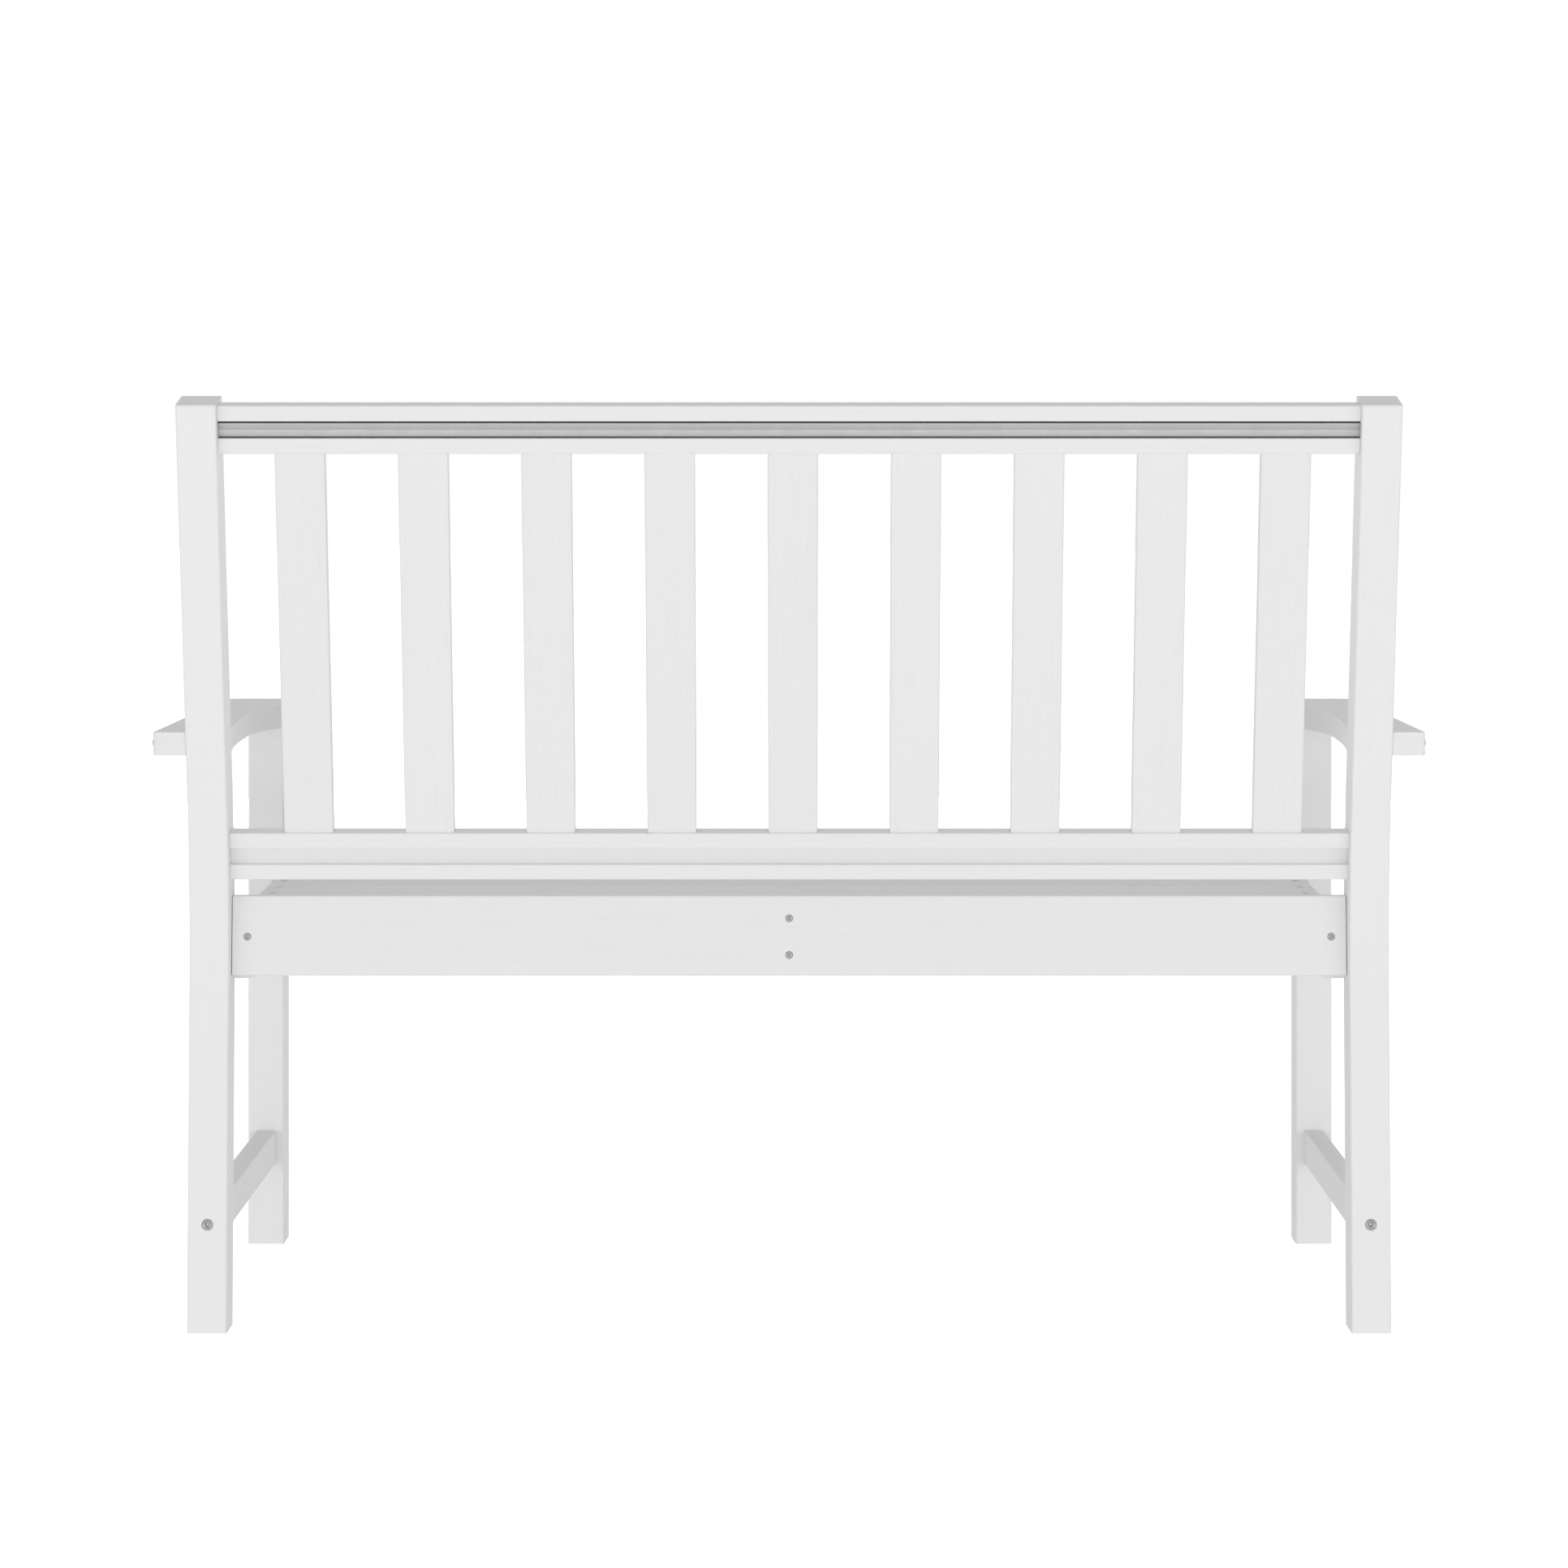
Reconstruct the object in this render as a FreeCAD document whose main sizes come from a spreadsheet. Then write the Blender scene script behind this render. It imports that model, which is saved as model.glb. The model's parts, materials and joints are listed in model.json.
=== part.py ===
import FreeCAD, Part

import math
import os
import re
import Sketcher
from FreeCAD import Placement, Rotation, Vector

# Garden bench of white plastic lumber: two leg frames, a reclined slatted back with grooved rails,
# and a dished seat of five boards on three shaped supports between two aprons.
# X runs along the bench (sitter's left is +X), Y runs rearward, Z up. Millimetres and degrees.
# The origin lies on the floor, under the middle of the whole bench.

SIZES = {
    # whole bench
    "overall_height": 918,
    "overall_depth": 619,
    "leg_spread": 1180,
    "edge_round": 2.5,
    "fit": 0.2,
    # legs: the rear ones are bent, from a foot kicked back to a reclined back
    "leg_thickness": 39,
    "leg_depth": 47,
    "foot_kick": 2.8,
    "back_recline": 11.8,
    "bend_radius": 780,
    "bend_height": 369,
    "crown_chamfer": 1.5,
    # arms
    "arm_top": 589.5,
    "arm_thickness": 22.8,
    "arm_overhang": 29,
    "arm_outboard": 32.5,
    "arm_setback": 4,
    "arm_rear_width": 70.5,
    "arm_waist_width": 58.5,
    "arm_front_width": 110.5,
    "arm_paddle_length": 22.8,
    "arm_rear_scoop_radius": 2100,
    "arm_front_scoop_radius": 400,
    "arm_flare_radius": 220,
    "arm_corner_radius": 18,
    "arm_heel_radius": 5,
    "arm_chamfer": 0.4,
    # stretchers low down in each leg frame
    "stretcher_bottom": 87.5,
    "stretcher_height": 36.5,
    "stretcher_thickness": 22,
    # back rails, measured down the slope from the top of the post, and their slats
    "rail_recess": 9,
    "rail_thickness": 19,
    "rail_height": 47.6,
    "rail_round": 1.5,
    "top_rail_drop": 2.2,
    "bottom_rail_drop": 431.2,
    "groove_width": 16.8,
    "groove_depth": 6,
    "bar_groove_depth": 10,
    "groove_round": 1,
    "bar_gap": 1.5,
    "bar_thickness": 8.6,
    "bar_line_width": 0.8,
    "slat_width": 48.6,
    "slat_thickness": 12.7,
    "slat_count": 9,
    "slat_end_gap": 50.1,
    "slat_shift": 3.7,
    "slat_round": 2,
    "tenon_length": 12,
    "mortise_spare": 1,
    # aprons under the seat's rear and front edges
    "apron_width": 79,
    "apron_thickness": 22,
    "apron_tilt": 4,
    "apron_setback": 4.95,
    "apron_centre_height": 385.6,
    "apron_end_gap": 1.3,
    # seat supports: heights of their dished top where two boards meet, from rear to front
    "side_rail_bottom": 341,
    "center_support_bottom": 350,
    "support_thickness": 20,
    "dish_rear": 404.2,
    "dish_first": 396,
    "dish_second": 386.4,
    "dish_third": 388.5,
    "dish_fourth": 397,
    "dish_front": 398.6,
    # seat boards
    "board_thickness": 18,
    "rear_board_width": 71,
    "seat_nose": 16.7,
    "board_gap": 7,
    "board_end_gap": 2,
    # fasteners
    "screw_head_width": 7.4,
    "screw_head_height": 1.8,
    "screw_shank_width": 3.8,
    "seat_screw_bite": 16,
    "apron_screw_bite": 16,
    "seat_screw_inset": 18,
    "nose_screw_inset": 22,
    "side_screw_inset": 15.5,
    "rear_screw_spacing": 36,
    "rear_screw_rise": -1,
    "front_screw_spacing": 16,
    "front_screw_rise": 8,
    "frame_screw_head_width": 10,
    "frame_screw_head_height": 2.6,
    "frame_screw_shank_width": 5.5,
    "frame_screw_bite": 33,
    "apron_frame_screw_spacing": 40,
    "arm_screw_head_height": 2.9,
    "arm_screw_bite": 31,
    "bolt_head_width": 7.4,
    "bolt_head_height": 3,
    "bolt_shank_width": 6,
    "bolt_bite": 35,
    "washer_width": 11.3,
    "washer_thickness": 1.2,
    "washer_depth": 3.4,
    "dowel_width": 8,
    "dowel_length": 50,
    "dowel_in_arm": 14,
}

# Sizes that follow from the ones above.
FITS = {
    "half_depth": "overall_depth / 2",
    "leg_outer": "leg_spread / 2",
    "leg_inner": "leg_spread / 2 - leg_thickness",
    "leg_middle": "leg_spread / 2 - leg_thickness / 2",
    # rear leg, seen from the side: the bend's centre, and the reclined straight's line
    "bend_centre_back": "(bend_radius - bend_height * sin(foot_kick)) / cos(foot_kick)",
    "back_line_start": "bend_centre_back - bend_radius / cos(back_recline) - bend_height * tan(back_recline)",
    "post_shoulder": "overall_height - leg_depth * sin(back_recline)",
    "foot_back": "half_depth - back_line_start - post_shoulder * tan(back_recline)"
                 " + crown_chamfer * sin(back_recline)",
    "front_leg_front": "arm_overhang - half_depth",
    "front_leg_back": "arm_overhang - half_depth + leg_depth",
    # arms
    "arm_outer": "leg_spread / 2 + arm_outboard",
    "arm_underside": "arm_top - arm_thickness",
    "arm_middle": "arm_top - arm_thickness / 2",
    "post_back_at_arm": "foot_back + back_line_start + arm_middle * tan(back_recline)",
    "post_front_at_arm": "post_back_at_arm - leg_depth / cos(back_recline)",
    "arm_back": "post_back_at_arm - arm_setback",
    "arm_length": "arm_back + half_depth",
    "scoop_reach": "arm_front_scoop_radius + arm_flare_radius",
    "scoop_rise": "scoop_reach - arm_front_width + arm_waist_width",
    "arm_waist_from_rear": "arm_length - arm_paddle_length - sqrt(scoop_reach ^ 2 - scoop_rise ^ 2)",
    # back panel, in the plane of the reclined rear faces
    "rail_middle": "rail_recess + rail_thickness / 2",
    "bar_width": "groove_width - 2 * bar_gap",
    "slat_top": "top_rail_drop + rail_height - tenon_length",
    "slat_bottom": "bottom_rail_drop + tenon_length",
    "slat_pitch": "(2 * leg_inner - 2 * slat_end_gap - slat_width) / (slat_count - 1)",
    "mortise_middle": "leg_inner - slat_shift - (slat_count - 1) / 2 * slat_pitch",
    "mortise_left": "mortise_middle - slat_width / 2 - fit",
    "mortise_right": "mortise_middle + slat_width / 2 + fit",
    # aprons
    "apron_half": "leg_inner - apron_end_gap",
    "rear_apron_back": "foot_back + bend_centre_back - bend_radius - leg_depth + apron_setback"
                       " + apron_thickness / cos(apron_tilt)",
    "front_apron_top": "dish_fourth + (dish_front - dish_fourth)"
                       " * (dish_fourth_at - front_leg_back) / (board_width + board_gap) - fit",
    # seat line: where the boards meet, from the rear apron's front face forward
    "support_rear_height": "dish_rear - fit * (dish_rear - dish_first) / (rear_board_width + board_gap)",
    "dish_rear_at": "rear_apron_back - apron_thickness / cos(apron_tilt)"
                    " - (dish_rear - apron_centre_height) * tan(apron_tilt)",
    "dish_first_at": "dish_rear_at - rear_board_width - board_gap",
    "board_width": "(dish_first_at - front_leg_back + apron_thickness + seat_nose + board_gap / 2) / 4"
                   " - board_gap",
    "dish_second_at": "dish_first_at - board_width - board_gap",
    "dish_third_at": "dish_second_at - board_width - board_gap",
    "dish_fourth_at": "dish_third_at - board_width - board_gap",
    "dish_front_at": "dish_fourth_at - board_width - board_gap",
    "support_front_height": "dish_fourth + (dish_front - dish_fourth)"
                            " * (dish_fourth_at - front_leg_back - fit) / (board_width + board_gap)",
    "seat_half": "leg_inner - board_end_gap",
    "support_outer": "leg_inner - fit",
    # fasteners: the thickness that each passes, and its bite in the piece behind
    "side_screw_across": "leg_inner - side_screw_inset",
    "seat_screw_length": "board_thickness - screw_head_height + seat_screw_bite",
    "apron_screw_length": "apron_thickness - screw_head_height + apron_screw_bite",
    "frame_screw_length": "leg_thickness - frame_screw_head_height + frame_screw_bite",
    "arm_screw_length": "arm_outboard + arm_screw_bite",
    "bolt_height": "stretcher_bottom + stretcher_height / 2",
    "bolt_length": "leg_depth + bolt_bite",
}

HEAD_SIDES = 8
SHANK_SIDES = 6
DISH = ["dish_rear", "dish_first", "dish_second", "dish_third", "dish_fourth", "dish_front"]
SLATS = SIZES["slat_count"]
SIDES = {"left": 1, "right": -1}

doc = FreeCAD.newDocument("bench")
sheet = doc.addObject("Spreadsheet::Sheet", "Sizes")
for row, (word, plain_size) in enumerate(SIZES.items(), start=1):
    sheet.set(f"A{row}", word)
    sheet.set(f"B{row}", str(plain_size))
    sheet.setAlias(f"B{row}", word)
doc.recompute()


def bound(formula):
    """The formula with every size pointing at its cell and every fitted size written out."""
    def spell(match):
        word = match.group(0)
        if word in SIZES:
            return "Sizes." + word
        if word in FITS:
            return "(" + bound(FITS[word]) + ")"
        return word
    return re.sub(r"[a-z_]+", spell, str(formula))


def value(formula):
    """The number that a formula gives now."""
    return float(sheet.evalExpression(bound(formula)))


class Outline:
    """A closed sketch outline on one of a body's own planes, with its sizes bound to the sheet."""

    def __init__(self, body, plane, lift="0"):
        self.sketch = body.newObject("Sketcher::SketchObject", body.Name + "_outline")
        support = [one for one in body.Origin.OriginFeatures if one.Role == plane][0]
        self.sketch.AttachmentSupport = [(support, "")]
        self.sketch.MapMode = "FlatFace"
        if lift != "0":
            self.sketch.setExpression("AttachmentOffset.Base.z", bound(lift))
        self.edges = []

    def line(self, start, end):
        segment = Part.LineSegment(Vector(*start, 0), Vector(*end, 0))
        self.edges.append((self.sketch.addGeometry(segment), 1, 2))
        return len(self.edges) - 1

    def arc(self, centre, start, end, left):
        """An arc that turns left (or right) on its way from start to end."""
        first, last = (start, end) if left else (end, start)
        reach = math.dist(centre, start)
        angles = [math.atan2(point[1] - centre[1], point[0] - centre[0]) for point in (first, last)]
        circle = Part.Circle(Vector(*centre, 0), Vector(0, 0, 1), reach)
        index = self.sketch.addGeometry(Part.ArcOfCircle(circle, *angles))
        self.edges.append((index, 1, 2) if left else (index, 2, 1))
        return len(self.edges) - 1

    def join(self, smooth=()):
        """Joins each edge's end to the next one's start, tangent after the edges named in smooth."""
        for number, (index, _, last) in enumerate(self.edges):
            following, first, _ = self.edges[(number + 1) % len(self.edges)]
            kind = "Tangent" if number in smooth else "Coincident"
            self.sketch.addConstraint(Sketcher.Constraint(kind, index, last, following, first))

    def tie(self, kind, *references):
        self.sketch.addConstraint(Sketcher.Constraint(kind, *references))

    def measure(self, kind, references, formula, unit=""):
        """A dimension on the outline that follows the formula."""
        number = value(formula)
        if unit:
            number = math.radians(number)
        constraint = self.sketch.addConstraint(Sketcher.Constraint(kind, *references, number))
        ending = " * 1 " + unit if unit else ""
        self.sketch.setExpression(f"Constraints[{constraint}]", "(" + bound(formula) + ")" + ending)

    def pin(self, index, point, across, up):
        """Places a point of an edge by its two coordinates."""
        for kind, axis, formula in (("DistanceX", -2, across), ("DistanceY", -1, up)):
            if formula == "0":
                self.tie("PointOnObject", index, point, axis)
            else:
                self.measure(kind, (-1, 1, index, point), formula)


def polygon(body, plane, corners, lift="0"):
    """A straight-sided outline whose corners are pairs of formulas."""
    outline = Outline(body, plane, lift)
    points = [(value(across), value(up)) for across, up in corners]
    for start, end in zip(points, points[1:] + points[:1]):
        outline.line(start, end)
    outline.join()
    for (index, first, _), (across, up) in zip(outline.edges, corners):
        outline.pin(index, first, across, up)
    return outline.sketch


def block(across, up):
    """The four corners of a rectangle between two pairs of formulas."""
    return [(across[0], up[0]), (across[1], up[0]), (across[1], up[1]), (across[0], up[1])]


def new_body(name):
    body = doc.addObject("PartDesign::Body", name)
    body.Label = name
    return body


def pad(body, sketch, length):
    solid = body.newObject("PartDesign::Pad", body.Name + "_pad")
    solid.Profile = sketch
    solid.setExpression("Length", bound(length))
    doc.recompute()
    return solid


def pocket(body, sketch, depth, backwards=False):
    """A cut from a sketch, checked to take material away."""
    before = body.Shape.Volume
    cut = body.newObject("PartDesign::Pocket", body.Name + "_pocket")
    cut.Profile = sketch
    cut.Reversed = backwards
    cut.setExpression("Length", bound(depth))
    doc.recompute()
    if body.Shape.Volume > before - 1:
        raise ValueError(body.Name + ": a pocket cuts nothing")
    return cut


def picked(feature, chosen):
    """The names of a feature's edges that a test picks."""
    return [f"Edge{number}" for number, edge in enumerate(feature.Shape.Edges, start=1) if chosen(edge)]


def soften(body, feature, radius, chosen):
    """Rounds the feature's edges that chosen picks."""
    fillet = body.newObject("PartDesign::Fillet", body.Name + "_rounding")
    fillet.Base = (feature, picked(feature, chosen))
    fillet.setExpression("Radius", bound(radius))
    doc.recompute()
    return fillet


def bevel(body, feature, size, chosen):
    """Chamfers the feature's edges that chosen picks."""
    chamfer = body.newObject("PartDesign::Chamfer", body.Name + "_bevel")
    chamfer.Base = (feature, picked(feature, chosen))
    chamfer.setExpression("Size", bound(size))
    doc.recompute()
    return chamfer


def runs_along(axis):
    """Picks straight edges that run along an axis of the body's own frame."""
    def chosen(edge):
        span = edge.Vertexes[-1].Point - edge.Vertexes[0].Point
        return isinstance(edge.Curve, Part.Line) and abs(span.normalize().dot(axis)) > 0.999
    return chosen


def place(body, across, back, up, turn="0"):
    """Puts a body in the bench's frame, turned about X, with every number bound to the sheet."""
    angle = value(turn)
    body.Placement = Placement(Vector(), Rotation(Vector(1, 0, 0), angle))
    if turn != "0":
        body.setExpression("Placement.Rotation.Angle", "(" + bound(turn) + ") * 1 deg")
    for letter, formula in (("x", across), ("y", back), ("z", up)):
        body.setExpression("Placement.Base." + letter, bound(formula))
    doc.recompute()
    return body


def signed(side, formula):
    """A distance across the bench, on the left side as written and on the right side negative."""
    return formula if side > 0 else f"-({formula})"


def place_in_frame(body, side, back):
    """Stands a leg in its frame: its inner face on the left, its outer face on the right."""
    return place(body, "leg_inner" if side > 0 else "-leg_outer", back, "0")


def rear_leg(name, side):
    """Bent post from floor to top: kicked-back foot, round bend, reclined back, one even depth."""
    body = new_body(name)
    kick = math.radians(value("foot_kick"))
    recline = math.radians(value("back_recline"))
    centre = Vector(value("bend_centre_back"), value("bend_height"), 0)
    inner = value("bend_radius")
    outer = value("bend_radius + leg_depth")
    down_slope = Vector(math.cos(kick), math.sin(kick), 0)
    up_slope = Vector(math.cos(recline), -math.sin(recline), 0)
    top = value("overall_height")
    front_top = centre - up_slope * outer
    front_top += Vector(math.sin(recline), math.cos(recline), 0) * ((top - front_top.y) / math.cos(recline))
    points = {
        "foot_rear": (0, 0),
        "foot_front": (-value("leg_depth / cos(foot_kick)"), 0),
        "front_low": tuple(centre - down_slope * outer)[:2],
        "front_high": tuple(centre - up_slope * outer)[:2],
        "front_top": tuple(front_top)[:2],
        "rear_top": tuple(front_top + up_slope * value("leg_depth"))[:2],
        "rear_high": tuple(centre - up_slope * inner)[:2],
        "rear_low": tuple(centre - down_slope * inner)[:2],
    }
    middle = (centre.x, centre.y)
    outline = Outline(body, "YZ_Plane")
    outline.line(points["foot_rear"], points["foot_front"])
    outline.line(points["foot_front"], points["front_low"])
    outline.arc(middle, points["front_low"], points["front_high"], left=False)
    outline.line(points["front_high"], points["front_top"])
    outline.line(points["front_top"], points["rear_top"])
    outline.line(points["rear_top"], points["rear_high"])
    outline.arc(middle, points["rear_high"], points["rear_low"], left=True)
    outline.line(points["rear_low"], points["foot_rear"])
    foot, front_straight, front_bend, front_back, crown, rear_back, rear_bend, rear_straight = range(8)
    outline.join(smooth=(front_straight, front_bend, rear_back, rear_bend))
    outline.tie("Coincident", foot, 1, -1, 1)
    outline.tie("Horizontal", foot)
    outline.tie("Coincident", front_bend, 3, rear_bend, 3)
    outline.tie("Parallel", front_straight, rear_straight)
    outline.tie("Parallel", front_back, rear_back)
    outline.tie("Perpendicular", crown, front_back)
    outline.measure("Angle", (front_straight,), "90 + foot_kick", unit="deg")
    outline.measure("Angle", (front_back,), "90 - back_recline", unit="deg")
    outline.measure("Radius", (rear_bend,), "bend_radius")
    outline.measure("Radius", (front_bend,), "bend_radius + leg_depth")
    outline.measure("DistanceY", (-1, 1, rear_bend, 3), "bend_height")
    outline.measure("DistanceY", (-1, 1, crown, 1), "overall_height")
    post = pad(body, outline.sketch, "leg_thickness")
    shoulder = value("post_shoulder")

    def crown_rear_edge(edge):
        room = edge.BoundBox
        return room.ZLength < 0.1 and abs(room.ZMax - shoulder) < 0.1

    def long_edge(edge):
        room = edge.BoundBox
        return room.XLength < 0.1 and room.ZMax > 1 and room.ZMin < shoulder - value("leg_depth") / 2

    crowned = bevel(body, post, "crown_chamfer", crown_rear_edge)
    soften(body, crowned, "edge_round", long_edge)
    return place_in_frame(body, side, "foot_back")


def front_leg(name, side):
    """Upright square post that the arm rests on."""
    body = new_body(name)
    sketch = polygon(body, "XY_Plane", block(("0", "leg_thickness"), ("0", "leg_depth")))
    post = pad(body, sketch, "arm_underside")
    soften(body, post, "edge_round", runs_along(Vector(0, 0, 1)))
    return place_in_frame(body, side, "front_leg_front")


def arm(name, side):
    """Flat arm: straight outer edge, scooped inner edge with a wide front, and a notch that the
    reclined post passes through."""
    body = new_body(name)
    outer = value("arm_outer")
    waist = outer - value("arm_waist_width")
    rear = outer - value("arm_rear_width")
    front = outer - value("arm_front_width")
    length = value("arm_length")
    waist_at = -value("arm_waist_from_rear")
    paddle_at = value("arm_paddle_length") - length
    rear_scoop = value("arm_rear_scoop_radius")
    front_scoop = value("arm_front_scoop_radius")
    flare = value("arm_flare_radius")
    flare_centre = (front + flare, paddle_at)
    front_scoop_centre = (waist - front_scoop, waist_at)
    rear_scoop_centre = (waist - rear_scoop, waist_at)
    share = front_scoop / (front_scoop + flare)
    turning = tuple(a + (b - a) * share for a, b in zip(front_scoop_centre, flare_centre))
    rear_end = waist_at + math.sqrt(rear_scoop ** 2 - (rear - waist + rear_scoop) ** 2)

    def flip(point):
        return (side * point[0], point[1])

    outline = Outline(body, "XY_Plane")
    outline.line(flip((rear, 0)), flip((outer, 0)))
    outline.line(flip((outer, 0)), flip((outer, -length)))
    outline.line(flip((outer, -length)), flip((front, -length)))
    outline.line(flip((front, -length)), flip((front, flare_centre[1])))
    turns_left = side > 0
    outline.arc(flip(flare_centre), flip((front, flare_centre[1])), flip(turning), not turns_left)
    outline.arc(flip(front_scoop_centre), flip(turning), flip((waist, waist_at)), turns_left)
    outline.arc(flip(rear_scoop_centre), flip((waist, waist_at)), flip((rear, rear_end)), turns_left)
    outline.line(flip((rear, rear_end)), flip((rear, 0)))
    rear_edge, outer_edge, front_edge, paddle_edge, flare_arc, front_arc, rear_arc, heel_edge = range(8)
    outline.join(smooth=(paddle_edge, flare_arc, front_arc))
    outline.tie("Horizontal", rear_edge)
    outline.tie("Vertical", outer_edge)
    outline.tie("Horizontal", front_edge)
    outline.tie("Vertical", paddle_edge)
    outline.tie("Vertical", heel_edge)
    outline.tie("PointOnObject", rear_edge, 1, -1)
    outline.measure("DistanceX", (-1, 1, rear_edge, 2), signed(side, "arm_outer"))
    outline.measure("DistanceX", (-1, 1, rear_edge, 1), signed(side, "arm_outer - arm_rear_width"))
    outline.measure("DistanceX", (-1, 1, front_edge, 2), signed(side, "arm_outer - arm_front_width"))
    outline.measure("DistanceY", (-1, 1, outer_edge, 2), "-arm_length")
    outline.measure("Radius", (flare_arc,), "arm_flare_radius")
    outline.measure("Radius", (front_arc,), "arm_front_scoop_radius")
    outline.measure("Radius", (rear_arc,), "arm_rear_scoop_radius")
    narrowest = 1 if outline.edges[rear_arc][1] == 1 else 2
    outline.measure("DistanceX", (-1, 1, rear_arc, narrowest), signed(side, "arm_outer - arm_waist_width"))
    outline.measure("DistanceY", (-1, 1, rear_arc, 3), "-arm_waist_from_rear")
    outline.tie("Horizontal", rear_arc, 3, rear_arc, narrowest)
    board = pad(body, outline.sketch, "arm_thickness")

    upright = runs_along(Vector(0, 0, 1))

    def front_corner(edge):
        return upright(edge) and edge.BoundBox.YMin < 1 - length

    def heel_corner(edge):
        return upright(edge) and edge.BoundBox.YMin > -1 and abs(edge.Vertexes[0].X) > outer - 1

    corners = soften(body, board, "arm_corner_radius", front_corner)
    heel = soften(body, corners, "arm_heel_radius", heel_corner)
    bevel(body, heel, "arm_chamfer", lambda edge: edge.BoundBox.ZLength < 0.1)
    # notch for the post: its front wall leans back with the post's front face
    front_low = "post_front_at_arm - arm_back - arm_middle * tan(back_recline)"
    below = "(arm_underside - arm_chamfer)"
    above = "(arm_top + arm_chamfer)"
    notch = [
        (f"{front_low} + {below} * tan(back_recline) - fit", "-arm_chamfer"),
        ("arm_rear_width", "-arm_chamfer"),
        ("arm_rear_width", "arm_thickness + arm_chamfer"),
        (f"{front_low} + {above} * tan(back_recline) - fit", "arm_thickness + arm_chamfer"),
    ]
    sketch = polygon(body, "YZ_Plane", notch, lift=signed(side, "leg_outer + fit"))
    pocket(body, sketch, "leg_thickness + arm_rear_width", backwards=side < 0)
    return place(body, "0", "arm_back", "arm_underside")


def stretcher(name, side):
    """Low rail of a leg frame, cut at the rear to the slope of the kicked-back foot."""
    body = new_body(name)
    top = "stretcher_bottom + stretcher_height"
    rear = "-leg_depth / cos(foot_kick) - fit - ({height}) * tan(foot_kick)"
    front = "front_leg_back - foot_back + fit"
    corners = [
        (rear.format(height="stretcher_bottom"), "stretcher_bottom"),
        (rear.format(height=top), top),
        (front, top),
        (front, "stretcher_bottom"),
    ]
    bar = pad(body, polygon(body, "YZ_Plane", corners), "stretcher_thickness")
    front_at = value(front)
    rear_at = value(corners[0][0])
    soften(body, bar, "edge_round",
           lambda edge: edge.BoundBox.YMin < front_at + 1 and edge.BoundBox.YMax > rear_at - 4)
    return place(body, signed(side, "leg_middle") + " - stretcher_thickness / 2", "foot_back", "0")


def place_in_back(body, across):
    """Puts a body drawn in the back panel's frame, which hangs from the post's rear top corner."""
    return place(body, across, "half_depth", "post_shoulder", turn="-back_recline")


def mortises(body, lift, backwards):
    """A row of blind mortises, one for each slat, cut into a rail's edge."""
    rim = block(("mortise_left", "mortise_right"), ("-rail_middle - slat_thickness / 2 - fit",
                                                    "-rail_middle + slat_thickness / 2 + fit"))
    sketch = polygon(body, "XY_Plane", rim, lift=lift)
    first = pocket(body, sketch, "tenon_length + mortise_spare", backwards)
    row = body.newObject("PartDesign::LinearPattern", body.Name + "_mortises")
    row.Originals = [first]
    row.Direction = (sketch, ["H_Axis"])
    row.setExpression("Length", bound("(slat_count - 1) * slat_pitch"))
    row.Occurrences = SLATS
    body.Tip = row
    doc.recompute()


def back_rail(name, drop, depth, mortise_lift, mortise_up):
    """Rail of the back, with a square groove along the middle of its rear face."""
    body = new_body(name)
    rear = "-rail_recess"
    floor = f"-rail_recess - {depth}"
    front = "-rail_recess - rail_thickness"
    top = f"-{drop}"
    bottom = f"-{drop} - rail_height"
    groove_top = f"-{drop} - (rail_height - groove_width) / 2"
    groove_bottom = f"-{drop} - (rail_height + groove_width) / 2"
    corners = [
        (front, bottom), (rear, bottom), (rear, groove_bottom), (floor, groove_bottom),
        (floor, groove_top), (rear, groove_top), (rear, top), (front, top),
    ]
    rail = pad(body, polygon(body, "YZ_Plane", corners), "2 * leg_inner")
    along = runs_along(Vector(1, 0, 0))
    rear_at = value(rear)
    top_at = value(top)
    bottom_at = value(bottom)

    def outer_edge(edge):
        level = edge.BoundBox.Center.z
        return along(edge) and (level > top_at - 1 or level < bottom_at + 1)

    def groove_lip(edge):
        return along(edge) and edge.BoundBox.Center.y > rear_at - 1

    rounded = soften(body, rail, "rail_round", outer_edge)
    inside = (bottom_at + 4, top_at - 4)
    soften(body, rounded, "groove_round",
           lambda edge: groove_lip(edge) and inside[0] < edge.BoundBox.Center.z < inside[1])
    mortises(body, mortise_lift, mortise_up)
    return place_in_back(body, "-leg_inner")


def stiffener_bar(name):
    """Flat bar in the top rail's groove, with a shallow guide line along its middle."""
    body = new_body(name)
    seat = "-rail_recess - bar_groove_depth"
    face = "-rail_recess - bar_groove_depth + bar_thickness"
    middle = "-top_rail_drop - rail_height / 2"
    corners = [
        (seat, f"{middle} - bar_width / 2"),
        (face, f"{middle} - bar_width / 2"),
        (face, f"{middle} - bar_line_width / 2"),
        (f"{face} - bar_line_width / 2", middle),
        (face, f"{middle} + bar_line_width / 2"),
        (face, f"{middle} + bar_width / 2"),
        (seat, f"{middle} + bar_width / 2"),
    ]
    bar = pad(body, polygon(body, "YZ_Plane", corners), "2 * leg_inner - 2 * fit")
    along = runs_along(Vector(1, 0, 0))
    face_at = value(face)
    centre_at = value(middle)
    reach = value("bar_width / 2") - 1
    soften(body, bar, "groove_round",
           lambda edge: along(edge) and edge.BoundBox.YMax > face_at - 0.1
           and abs(edge.BoundBox.Center.z - centre_at) > reach)
    return place_in_back(body, "-leg_inner + fit")


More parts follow.
